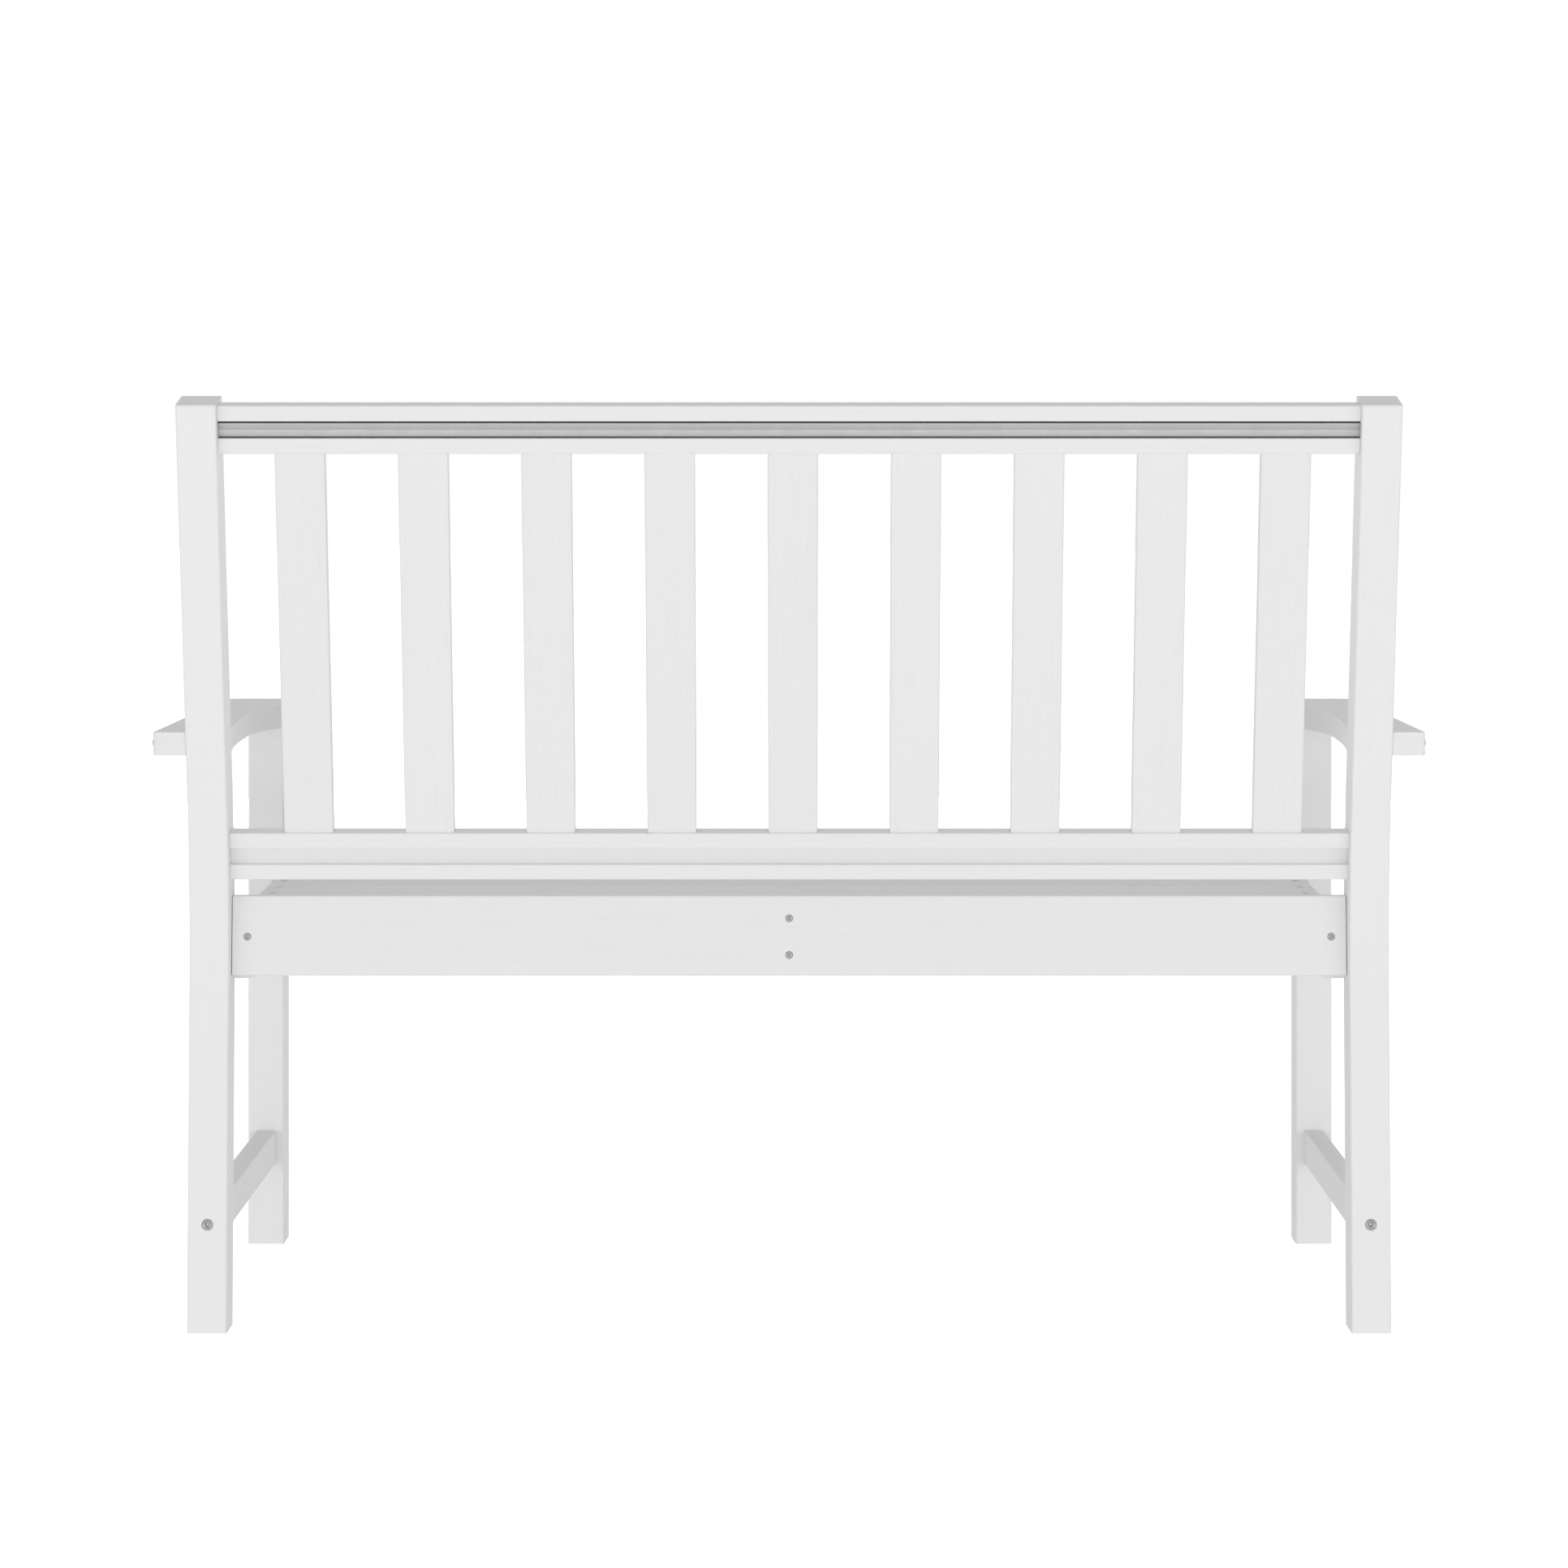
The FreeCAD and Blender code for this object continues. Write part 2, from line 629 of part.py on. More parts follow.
def slat(name, number):
    """Back slat, its square ends standing in the rails' mortises."""
    body = new_body(name)
    section = block(("-slat_width / 2", "slat_width / 2"),
                    ("-rail_middle - slat_thickness / 2", "-rail_middle + slat_thickness / 2"))
    sketch = polygon(body, "XY_Plane", section, lift="-slat_bottom")
    strip = pad(body, sketch, "slat_bottom - slat_top")
    soften(body, strip, "slat_round", runs_along(Vector(0, 0, 1)))
    return place_in_back(body, f"((slat_count - 1) / 2 - {number}) * slat_pitch - slat_shift")


def apron(name, back, up, turn="0"):
    """Wide board across the seat's edge, placed by the middle of its rear face."""
    body = new_body(name)
    outline = block(("-apron_half", "apron_half"), ("-apron_width / 2", "apron_width / 2"))
    board = pad(body, polygon(body, "XZ_Plane", outline), "apron_thickness")
    soften(body, board, "edge_round", runs_along(Vector(1, 0, 0)))
    return place(body, "0", back, up, turn)


def seat_support(name, across, bottom):
    """Shaped support under the seat boards, with one flat for each board along its dished top."""
    body = new_body(name)
    rear_foot = f"dish_rear_at + (dish_rear - {bottom}) * tan(apron_tilt) - fit"
    corners = [(rear_foot, bottom), ("dish_rear_at - fit", "support_rear_height")]
    corners += [(word + "_at", word) for word in DISH[1:-1]]
    corners += [("front_leg_back + fit", "support_front_height"), ("front_leg_back + fit", bottom)]
    plank = pad(body, polygon(body, "YZ_Plane", corners), "support_thickness")
    along_bottom = value(bottom) + 1
    soften(body, plank, "edge_round", lambda edge: edge.BoundBox.ZMax < along_bottom
           and edge.BoundBox.XLength < 0.1)
    return place(body, across, "0", "0")


def seat_board(name, number):
    """Flat board screwed down on its own flat of the supports."""
    body = new_body(name)
    rear, front = DISH[number - 1], DISH[number]
    width = "rear_board_width" if number == 1 else "board_width"
    outline = block(("-seat_half", "seat_half"), (f"-{width} / 2", f"{width} / 2"))
    board = pad(body, polygon(body, "XY_Plane", outline), "board_thickness")
    soften(body, board, "edge_round", runs_along(Vector(1, 0, 0)))
    turn = f"-atan(({front} - {rear}) / ({rear}_at - {front}_at))"
    return place(body, "0", f"({rear}_at + {front}_at) / 2", f"({rear} + {front}) / 2", turn)


def turned(name, profile):
    """A body revolved about its own Z axis from a half profile."""
    body = new_body(name)
    sketch = polygon(body, "XZ_Plane", profile)
    solid = body.newObject("PartDesign::Revolution", name + "_turned")
    solid.Profile = sketch
    solid.ReferenceAxis = (sketch, ["V_Axis"])
    solid.Angle = 360
    doc.recompute()
    return body


def stage(name, sides, width, foot, top):
    """An upright many-sided pin: its width over the corners, its foot and its top."""
    prism = doc.addObject("Part::Prism", name)
    prism.Polygon = sides
    prism.setExpression("Circumradius", bound(f"({width}) / 2"))
    prism.setExpression("Height", bound(f"({top}) - ({foot})"))
    prism.setExpression("Placement.Base.z", bound(foot))
    doc.recompute()
    return prism


def fused(name, pieces):
    whole = doc.addObject("Part::MultiFuse", name)
    whole.Shapes = pieces
    doc.recompute()
    return whole


def screw(name, head_width, head_height, shank_width, length):
    """Screw with a flat head, pointing down from the underside of its head."""
    return fused(name, [
        stage(name + "_head", HEAD_SIDES, head_width, "0", head_height),
        stage(name + "_shank", SHANK_SIDES, shank_width, f"-{length}", "0"),
    ])


def drill(name, head_width, head_height, shank_width, length):
    """The hole that a screw needs: its own form, larger all round by the fit."""
    above = f"{head_height} + edge_round"
    return fused(name, [
        stage(name + "_head", HEAD_SIDES, f"{head_width} + 2 * fit", "-fit / 2", above),
        stage(name + "_shank", SHANK_SIDES, f"{shank_width} + fit", f"-{length} - fit", "-fit / 2"),
    ])


def washer(name):
    """Dished cup washer that the bolt head sinks into."""
    return turned(name, [
        ("bolt_shank_width / 2 + fit", "-washer_depth"),
        ("bolt_head_width / 2 + fit", "-washer_depth"),
        ("washer_width / 2", "-washer_thickness / 2"),
        ("washer_width / 2", "0"),
        ("bolt_head_width / 2 + 2 * fit", "washer_thickness - washer_depth"),
        ("bolt_shank_width / 2 + fit", "washer_thickness - washer_depth"),
    ])


def washer_seat(name):
    """The hole that a dished washer and its bolt need."""
    dish = turned(name + "_dish", [
        ("0", "edge_round"), ("washer_width / 2 + fit", "edge_round"),
        ("washer_width / 2 + fit", "-washer_thickness / 2 - fit"),
        ("bolt_head_width / 2 + 2 * fit", "-washer_depth - fit"),
        ("0", "-washer_depth - fit"),
    ])
    bore = stage(name + "_bore", SHANK_SIDES, "bolt_shank_width + fit", "-bolt_length - washer_depth - fit",
                 "-washer_depth")
    return fused(name, [dish, bore])


def copies(name, model, places):
    """A group of separate solids: one model at every place of a list."""
    group = doc.addObject("Part::Feature", name)
    group.Label = name
    group.Shape = Part.makeCompound([model.Shape.transformed(spot.toMatrix()) for spot in places])
    return group


def facing(point, outward, sunk=0.0):
    """The place of a screw whose head faces outward, sunk below a surface point."""
    return Placement(point - outward * sunk, Rotation(Vector(0, 0, 1), outward))


def seat_screw_places(boards):
    """Two screws at each end of a board and one in its middle, heads flush with its top."""
    places = []
    for number, board in enumerate(boards, start=1):
        width = value("rear_board_width" if number == 1 else "board_width")
        across = value("side_screw_across")
        rearward = width / 2 - value("seat_screw_inset")
        forward = width / 2 - value("nose_screw_inset" if number == len(boards) else "seat_screw_inset")
        spots = [(side * across, along) for side in (-1, 1) for along in (-forward, rearward)] + [(0, 0)]
        upward = board.Placement.Rotation.multVec(Vector(0, 0, 1))
        for spot in spots:
            point = board.Placement.multVec(Vector(*spot, value("board_thickness")))
            places.append(facing(point, upward, value("screw_head_height")))
    return places


def apron_screw_places(board, outer_face, rise, spacing):
    """One screw into each side support and two into the middle one, through an apron."""
    outward = board.Placement.Rotation.multVec(Vector(0, 1 if outer_face == 0 else -1, 0))
    level = value(rise)
    half = value(spacing) / 2
    across = value("side_screw_across")
    spots = [(-across, level), (across, level), (0, level - half), (0, level + half)]
    return [facing(board.Placement.multVec(Vector(x, outer_face, z)), outward, value("screw_head_height"))
            for x, z in spots]


def frame_screw_places(board, back, levels):
    """Screws through both legs into the two ends of a rail or an apron."""
    places = []
    for side in SIDES.values():
        for level in levels:
            point = board.Placement.multVec(Vector(0, back, level))
            point.x = side * value("leg_outer")
            places.append(facing(point, Vector(side, 0, 0), value("frame_screw_head_height")))
    return places


def arm_screw_places():
    """One screw through each arm's outer edge into the middle of the post."""
    back = value("(post_back_at_arm + post_front_at_arm) / 2")
    return [facing(Vector(side * value("arm_outer"), back, value("arm_middle")), Vector(side, 0, 0))
            for side in SIDES.values()]


def bolt_places():
    """The ends of both stretchers: the rear leg's rear face and the front leg's front face."""
    level = value("bolt_height")
    places = []
    for side in SIDES.values():
        across = side * value("leg_middle")
        rear = value("foot_back") - level * math.tan(math.radians(value("foot_kick")))
        places.append(facing(Vector(across, rear, level), Vector(0, 1, 0)))
        places.append(facing(Vector(across, value("front_leg_front"), level), Vector(0, -1, 0)))
    return places


def dowel_places():
    """Upright dowels between the front legs and the arms, standing from their own lower ends."""
    back = value("(front_leg_front + front_leg_back) / 2")
    foot = value("arm_underside + dowel_in_arm - dowel_length")
    return [Placement(Vector(side * value("leg_middle"), back, foot), Rotation()) for side in SIDES.values()]


def dowel(name, spare):
    return stage(name, HEAD_SIDES, f"dowel_width + {spare}", f"-{spare}", f"dowel_length + {spare}")


def drilled(blank, drills):
    """The blank with a hole for every screw that reaches it, under the blank's own name."""
    name = blank.Label
    room = blank.Shape.BoundBox
    reaching = [one for one in drills if room.intersect(one.BoundBox)]
    blank.Label = name + "_blank"
    holes = doc.addObject("Part::Feature", name + "_holes")
    holes.Shape = Part.makeCompound(reaching)
    finished = doc.addObject("Part::Cut", name + "_drilled")
    finished.Base = blank
    finished.Tool = holes
    finished.Label = name
    return finished


# Frame pieces and boards, before they are drilled
rails = [
    back_rail("back_top_rail", "top_rail_drop", "bar_groove_depth", "-top_rail_drop - rail_height", True),
    back_rail("back_bottom_rail", "bottom_rail_drop", "groove_depth", "-bottom_rail_drop", False),
]
blanks = list(rails)
for side_name, side_sign in SIDES.items():
    blanks.append(rear_leg("rear_leg_" + side_name, side_sign))
    blanks.append(front_leg("front_leg_" + side_name, side_sign))
    blanks.append(arm("arm_" + side_name, side_sign))
    blanks.append(stretcher("stretcher_" + side_name, side_sign))
rear_board = apron("rear_apron", "rear_apron_back", "apron_centre_height", turn="apron_tilt")
front_board = apron("front_apron", "front_leg_back", "front_apron_top - apron_width / 2")
blanks += [rear_board, front_board]
blanks.append(seat_support("side_seat_rail_left", "support_outer - support_thickness", "side_rail_bottom"))
blanks.append(seat_support("side_seat_rail_right", "-support_outer", "side_rail_bottom"))
blanks.append(seat_support("center_seat_support", "-support_thickness / 2", "center_support_bottom"))
seat_boards = [seat_board(f"seat_board_{number}", number) for number in range(1, len(DISH))]
blanks += seat_boards
finished_parts = [stiffener_bar("top_rail_stiffener")]
finished_parts += [slat(f"back_slat_{number + 1}", number) for number in range(SLATS)]

# Fasteners, and the holes that each kind needs
small = ("screw_head_width", "screw_head_height", "screw_shank_width")
large = ("frame_screw_head_width", "frame_screw_head_height", "frame_screw_shank_width")
proud = ("frame_screw_head_width", "arm_screw_head_height", "frame_screw_shank_width")
apron_levels = [step * value("apron_frame_screw_spacing / 2") for step in (-1, 1)]
frame_places = []
rail_screw_back = -value("rail_recess + (rail_thickness + bar_groove_depth) / 2")
for rail, drop in zip(rails, ("top_rail_drop", "bottom_rail_drop")):
    frame_places += frame_screw_places(rail, rail_screw_back, [-value(f"{drop} + rail_height / 2")])
for board in (rear_board, front_board):
    frame_places += frame_screw_places(board, -value("apron_thickness / 2"), apron_levels)
front_face = -value("apron_thickness")
apron_places = apron_screw_places(rear_board, 0, "rear_screw_rise", "rear_screw_spacing")
apron_places += apron_screw_places(front_board, front_face, "front_screw_rise", "front_screw_spacing")
head_seat = Vector(0, 0, value("washer_thickness - washer_depth"))
bolt_seats = [spot.multiply(Placement(head_seat, Rotation())) for spot in bolt_places()]

KINDS = [
    ("seat_screws", screw("seat_screw", *small, "seat_screw_length"),
     drill("seat_drill", *small, "seat_screw_length"), seat_screw_places(seat_boards)),
    ("apron_screws", screw("apron_screw", *small, "apron_screw_length"),
     drill("apron_drill", *small, "apron_screw_length"), apron_places),
    ("frame_screws", screw("frame_screw", *large, "frame_screw_length"),
     drill("frame_drill", *large, "frame_screw_length"), frame_places),
    ("arm_screws", screw("arm_screw", *proud, "arm_screw_length"),
     drill("arm_drill", *proud, "arm_screw_length"), arm_screw_places()),
    ("arm_dowels", dowel("arm_dowel", "0"), dowel("dowel_drill", "fit"), dowel_places()),
    ("stretcher_washers", washer("stretcher_washer"), washer_seat("washer_drill"), bolt_places()),
]
drills = []
for group_name, model, hole, places in KINDS:
    finished_parts.append(copies(group_name, model, places))
    drills += [hole.Shape.transformed(spot.toMatrix()) for spot in places]
bolt = screw("stretcher_bolt", "bolt_head_width", "bolt_head_height", "bolt_shank_width", "bolt_length")
finished_parts.append(copies("stretcher_bolts", bolt, bolt_seats))
finished_parts += [drilled(blank, drills) for blank in blanks]
doc.recompute()

failed = [one.Label for one in doc.Objects if "Invalid" in one.State or "Error" in one.State]
if failed:
    raise ValueError("failed objects: " + ", ".join(failed))
for one in finished_parts:
    if one.Shape.isNull() or not one.Shape.isValid():
        raise ValueError("bad shape: " + one.Label)
os.makedirs("parts", exist_ok=True)
for one in finished_parts:
    one.Shape.exportStep(f"parts/{one.Label}.step")
print(len(finished_parts), "parts written")
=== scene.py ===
import json
import math
import random

import bpy
import numpy as np
from mathutils import Matrix, Vector


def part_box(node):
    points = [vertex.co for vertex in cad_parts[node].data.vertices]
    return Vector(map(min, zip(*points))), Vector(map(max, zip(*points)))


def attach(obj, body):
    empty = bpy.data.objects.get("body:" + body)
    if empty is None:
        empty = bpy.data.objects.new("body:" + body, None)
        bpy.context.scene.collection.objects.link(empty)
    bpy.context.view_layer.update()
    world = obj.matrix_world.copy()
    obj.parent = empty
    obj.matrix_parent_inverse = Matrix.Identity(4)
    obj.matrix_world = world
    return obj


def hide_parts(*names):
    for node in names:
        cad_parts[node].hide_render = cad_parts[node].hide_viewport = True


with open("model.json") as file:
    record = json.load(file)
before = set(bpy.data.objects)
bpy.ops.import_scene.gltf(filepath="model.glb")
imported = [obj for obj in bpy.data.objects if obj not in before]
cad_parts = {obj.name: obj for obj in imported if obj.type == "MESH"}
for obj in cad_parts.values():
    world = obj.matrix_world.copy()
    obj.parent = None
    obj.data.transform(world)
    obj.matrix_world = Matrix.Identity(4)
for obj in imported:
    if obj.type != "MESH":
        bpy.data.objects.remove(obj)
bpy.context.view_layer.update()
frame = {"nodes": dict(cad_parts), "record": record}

# Garden bench of white plastic lumber, seen from behind.
# Places are in metres, in the bench's own frame: +X to the sitter's left, +Y rearward, +Z up, origin on
# the floor. The forms of fasteners, recesses and arrises are given in millimetres and scaled by MM.

MM = 0.001

# Camera, solved from the photograph's 1932 pixel frame
PHOTO_WIDTH = 1932
FOCAL_PIXELS = 5220
OPTICAL_AXIS = (982.3, 545)
CAMERA_PLACE = (-0.0079, 4.380, 0.873)
SENSOR_WIDTH = 36

# Slopes of the bench that the grain follows
BACK_RECLINE = math.radians(11.8)
FOOT_KICK = math.radians(2.8)
BEND_HEIGHT = 0.449
BEND_BLEND = 0.06


# Shader nodes

class Signal:
    """A shader socket that adds its own Math node when an expression uses it."""

    def __init__(self, nodes, socket):
        self.nodes = nodes
        self.socket = socket

    def __add__(self, other):
        return self.nodes.compute("ADD", self, other)

    def __radd__(self, other):
        return self.nodes.compute("ADD", other, self)

    def __sub__(self, other):
        return self.nodes.compute("SUBTRACT", self, other)

    def __rsub__(self, other):
        return self.nodes.compute("SUBTRACT", other, self)

    def __mul__(self, other):
        return self.nodes.compute("MULTIPLY", self, other)


class Nodes:
    """A node tree under construction. One method adds any node."""

    def __init__(self, tree):
        self.tree = tree
        self.tree.nodes.clear()

    def node(self, kind, settings=None, inputs=None, output=0):
        made = self.tree.nodes.new(kind)
        for name, setting in (settings or {}).items():
            setattr(made, name, setting)
        for name, value in (inputs or {}).items():
            if isinstance(value, Signal):
                self.tree.links.new(value.socket, made.inputs[name])
            else:
                made.inputs[name].default_value = value
        return Signal(self, made.outputs[output])

    def compute(self, operation, *values):
        """A Math node with its values in order."""
        return self.node("ShaderNodeMath", {"operation": operation}, dict(enumerate(values)))

    def parts(self, vector):
        """The three parts of a vector, by letter."""
        split = self.tree.nodes.new("ShaderNodeSeparateXYZ")
        self.tree.links.new(vector.socket, split.inputs[0])
        return {letter: Signal(self, split.outputs[letter]) for letter in "XYZ"}

    def stretch(self, vector, scales):
        """A vector with each part scaled by its own number."""
        return self.node("ShaderNodeVectorMath", {"operation": "MULTIPLY"}, {0: vector, 1: scales})

    def noise(self, vector, detail=2.0, roughness=0.5):
        """Noise from 0 to 1, with features about one unit of the vector wide."""
        inputs = {"Vector": vector, "Scale": 1.0, "Detail": detail, "Roughness": roughness}
        return self.node("ShaderNodeTexNoise", {}, inputs)

    def ramp(self, value, low, high):
        """From 0 at low to 1 at high, with soft ends."""
        settings = {"interpolation_type": "SMOOTHSTEP"}
        return self.node("ShaderNodeMapRange", settings, {"Value": value, "From Min": low, "From Max": high})

    def blend(self, factor, first, second):
        """A colour between two, by a factor."""
        return self.node("ShaderNodeMix", {"data_type": "RGBA"}, {0: factor, 6: first, 7: second}, output=2)

    def attribute(self, name):
        """A number that each corner of the mesh carries."""
        return self.node("ShaderNodeAttribute", {"attribute_name": name}, output="Fac")

    def end(self, shader, kind):
        """Links the shader to an output node of a kind."""
        out = self.tree.nodes.new(kind)
        self.tree.links.new(shader.socket, out.inputs["Surface"])


class Paint(Nodes):
    """A material under construction."""

    def __init__(self, name):
        self.material = bpy.data.materials.new(name)
        self.material.use_nodes = True
        super().__init__(self.material.node_tree)

    def finish(self, shader):
        self.end(shader, "ShaderNodeOutputMaterial")
        return self.material


# Materials

NOISE_MIDDLE = 0.5
WHITE = (0.845, 0.845, 0.842, 1)
WHITE_IN_FURROW = (0.797, 0.797, 0.797, 1)

# The axes that run across, through and along a board's grain
GRAIN_AXES = {"lengthwise": ("Y", "Z", "X"), "depthwise": ("X", "Z", "Y"), "upright": ("X", "Y", "Z"),
              "slat": ("X", "Y", "Z")}

# Features to a metre, across, through and along the grain
WAVES = (14, 14, 4)
RING_FIELD = (34, 34, 1.9)
STREAKS = (230, 230, 5)
PORES = (820, 820, 34)
LINES = (620, 620, 8)
CLOUDS = (9, 9, 3)

WAVE_REACH = 0.010
RING_COUNT = 22
RING_EDGE = (0.05, 0.42)
PORE_EDGE = (0.56, 0.72)

# What each feature does to the relief, to the colour's depth and to the roughness
RELIEF = {"streaks": 0.5, "lines": 0.35, "figure": 0.18, "pits": 0.25}
DEPTH = {"figure": 0.13, "pits": 0.28, "lines": 0.5, "cloud": 0.35}
LUMBER_ROUGHNESS = {"all": 0.60, "streaks": 0.12, "pits": 0.08}
LUMBER_BUMP = {"Strength": 0.55, "Distance": 0.00022}
LUMBER_SHINE = {"IOR": 1.49, "Specular IOR Level": 0.05}

# Metal: shares of its colour where it is dull and where it is dark, and its marks
DULL_SHARE = 0.86
DARK_SHARE = 0.35
BLOTCHES = (70, 70, 70)
METAL_MIX = {"marks": 0.5, "blotches": 0.5}
METAL_ROUGHNESS = {"marks": 0.16, "blotches": 0.10}
METAL_BUMP = {"Strength": 0.35, "Distance": 0.00004}
BRUSHED = (30, 900, 900)
TUMBLED = (900, 900, 900)

# Plastic of the dowels
PLASTIC_CLOUDS = (160, 160, 160)
PLASTIC_SHADE = 0.9
PLASTIC_MIX = 0.4
PLASTIC_ROUGHNESS = {"all": 0.5, "cloud": 0.1}


def shaded(colour, share):
    """A share of a colour."""
    return tuple(share * part for part in colour[:3]) + (1,)


def lumber(direction):
    """White plastic lumber with an embossed wood grain that runs along the board."""
    paint = Paint("lumber_" + direction)
    axes = paint.parts(paint.node("ShaderNodeTexCoord", output="Object"))
    if direction == "upright":
        kicked = axes["Z"] * -math.tan(FOOT_KICK)
        bend = BEND_HEIGHT * math.tan(FOOT_KICK)
        reclined = (axes["Z"] - BEND_HEIGHT) * math.tan(BACK_RECLINE) - bend
        axes["Y"] = axes["Y"] - paint.compute("SMOOTH_MAX", kicked, reclined, BEND_BLEND)
    if direction == "slat":
        axes["Y"] = axes["Y"] - axes["Z"] * math.tan(BACK_RECLINE)
    across, through, along = (axes[letter] for letter in GRAIN_AXES[direction])
    grain = paint.node("ShaderNodeCombineXYZ", {}, {"X": across, "Y": through, "Z": along})

    # slow waves bend the grain a little sideways
    wave = (paint.noise(paint.stretch(grain, WAVES), detail=1) - NOISE_MIDDLE) * WAVE_REACH
    wander = paint.node("ShaderNodeCombineXYZ", {}, {"X": wave, "Y": wave, "Z": 0.0})
    waved = paint.node("ShaderNodeVectorMath", {"operation": "ADD"}, {0: grain, 1: wander})

    # figure: nested long loops, like a plain sawn board
    field = paint.noise(paint.stretch(waved, RING_FIELD), detail=1.5, roughness=0.4)
    figure = 1 - paint.ramp(paint.compute("PINGPONG", field * RING_COUNT, 1.0), *RING_EDGE)
    # streaks, short fine pores and fine lines between the loops
    streaks = paint.noise(paint.stretch(waved, STREAKS), detail=3, roughness=0.55)
    pores = paint.noise(paint.stretch(waved, PORES), detail=2, roughness=0.6)
    pits = paint.ramp(pores, *PORE_EDGE)
    lines = paint.noise(paint.stretch(waved, LINES), detail=2, roughness=0.5)
    height = (streaks * RELIEF["streaks"] + lines * RELIEF["lines"] - figure * RELIEF["figure"]
              - pits * RELIEF["pits"])

    cloud = paint.noise(paint.stretch(grain, CLOUDS), detail=2)
    # The board's tone also carries painted shade: the back rails' groove floors are coloured darker
    depth = (figure * DEPTH["figure"] + pits * DEPTH["pits"] + (lines - NOISE_MIDDLE) * DEPTH["lines"]
             + (cloud - NOISE_MIDDLE) * DEPTH["cloud"] + paint.attribute("board_tone_and_groove_shade"))
    roughness = (LUMBER_ROUGHNESS["all"] + (streaks - NOISE_MIDDLE) * LUMBER_ROUGHNESS["streaks"]
                 + pits * LUMBER_ROUGHNESS["pits"])
    shader = paint.node("ShaderNodeBsdfPrincipled", {}, {
        "Base Color": paint.blend(depth, WHITE, WHITE_IN_FURROW), "Roughness": roughness,
        "Normal": paint.node("ShaderNodeBump", {}, {**LUMBER_BUMP, "Height": height}), **LUMBER_SHINE,
    })
    return paint.finish(shader)


def metal(name, colour, roughness, marks_per_metre):
    """Satin metal with fine marks, darker where the number that each fastener set carries is high."""
    paint = Paint(name)
    place = paint.node("ShaderNodeTexCoord", output="Object")
    marks = paint.noise(paint.stretch(place, marks_per_metre), detail=3, roughness=0.6)
    blotches = paint.noise(paint.stretch(place, BLOTCHES), detail=2)
    worn = marks * METAL_MIX["marks"] + blotches * METAL_MIX["blotches"]
    satin = paint.blend(worn, colour, shaded(colour, DULL_SHARE))
    tint = paint.blend(paint.attribute("set_darkening"), satin, shaded(colour, DARK_SHARE))
    rough = (roughness + (marks - NOISE_MIDDLE) * METAL_ROUGHNESS["marks"]
             + (blotches - NOISE_MIDDLE) * METAL_ROUGHNESS["blotches"])
    bump = paint.node("ShaderNodeBump", {}, {**METAL_BUMP, "Height": marks})
    shader = paint.node("ShaderNodeBsdfPrincipled", {}, {
        "Base Color": tint, "Metallic": 1.0, "Roughness": rough, "Normal": bump,
    })
    return paint.finish(shader)


def plain_plastic(name, colour):
    """Moulded plastic of the hidden dowels."""
    paint = Paint(name)
    place = paint.node("ShaderNodeTexCoord", output="Object")
    cloud = paint.noise(paint.stretch(place, PLASTIC_CLOUDS), detail=3)
    tint = paint.blend(cloud * PLASTIC_MIX, colour, shaded(colour, PLASTIC_SHADE))
    rough = PLASTIC_ROUGHNESS["all"] + cloud * PLASTIC_ROUGHNESS["cloud"]
    shader = paint.node("ShaderNodeBsdfPrincipled", {}, {"Base Color": tint, "Roughness": rough})
    return paint.finish(shader)


PAINTS = {
    "lumber_upright": lumber("upright"),
    "lumber_lengthwise": lumber("lengthwise"),
    "lumber_depthwise": lumber("depthwise"),
    "lumber_slat": lumber("slat"),
    "stiffener_metal": metal("stiffener_metal", (0.36, 0.36, 0.36, 1), 0.50, BRUSHED),
    "fastener_steel": metal("fastener_steel", (0.50, 0.50, 0.50, 1), 0.36, TUMBLED),
    "washer_steel": metal("washer_steel", (0.44, 0.44, 0.44, 1), 0.30, TUMBLED),
    "dowel_plastic": plain_plastic("dowel_plastic", (0.78, 0.78, 0.76, 1)),
}
SLOTS = {one["node"]: one["material_slot"] for one in frame["record"]["subparts"]}


# Making pieces

# Corners nearer than this are one
WELD = 0.00001


def only(piece):
    """Selects one object and nothing else."""
    bpy.ops.object.select_all(action="DESELECT")
    piece.select_set(True)
    bpy.context.view_layer.objects.active = piece


def joined(pieces):
    """Joins objects into the first one."""
    bpy.ops.object.select_all(action="DESELECT")
    for piece in pieces:
        piece.select_set(True)
    bpy.context.view_layer.objects.active = pieces[0]
    if len(pieces) > 1:
        bpy.ops.object.join()
    return pieces[0]


def apply_modifier(piece, kind, **settings):
    """Adds one modifier to a piece and applies it."""
    only(piece)
    modifier = piece.modifiers.new(kind.lower(), kind)
    for name, setting in settings.items():
        setattr(modifier, name, setting)
    bpy.ops.object.modifier_apply(modifier=modifier.name)


def smooth_below(piece, angle):
    """Smooth shading across every edge that bends less than an angle."""
    only(piece)
    bpy.ops.object.shade_smooth_by_angle(angle=angle)


def carry(piece, attribute, values):
    """Gives each corner of a piece a number that its material reads."""
    layer = piece.data.attributes.new(attribute, "FLOAT", "POINT")
    layer.data.foreach_set("value", values)


def hand_over(piece, node, slot):
    """The piece stands for a node, rides with the bench and wears its slot's finish."""
    piece.data.materials.clear()
    piece.data.materials.append(PAINTS[slot])
    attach(piece, "root")
    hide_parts(node)


def drop(piece):
    """Removes a helper object and its mesh."""
    mesh = piece.data
    bpy.data.objects.remove(piece)
    bpy.data.meshes.remove(mesh)


def facing(outward):
    """The turn that takes +Z to a direction."""
    return Vector((0, 0, 1)).rotation_difference(outward).to_matrix().to_4x4()


# Fasteners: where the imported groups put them

# A fastener's corners beyond this share of its greatest radius belong to its head
HEAD_SHARE = 0.9


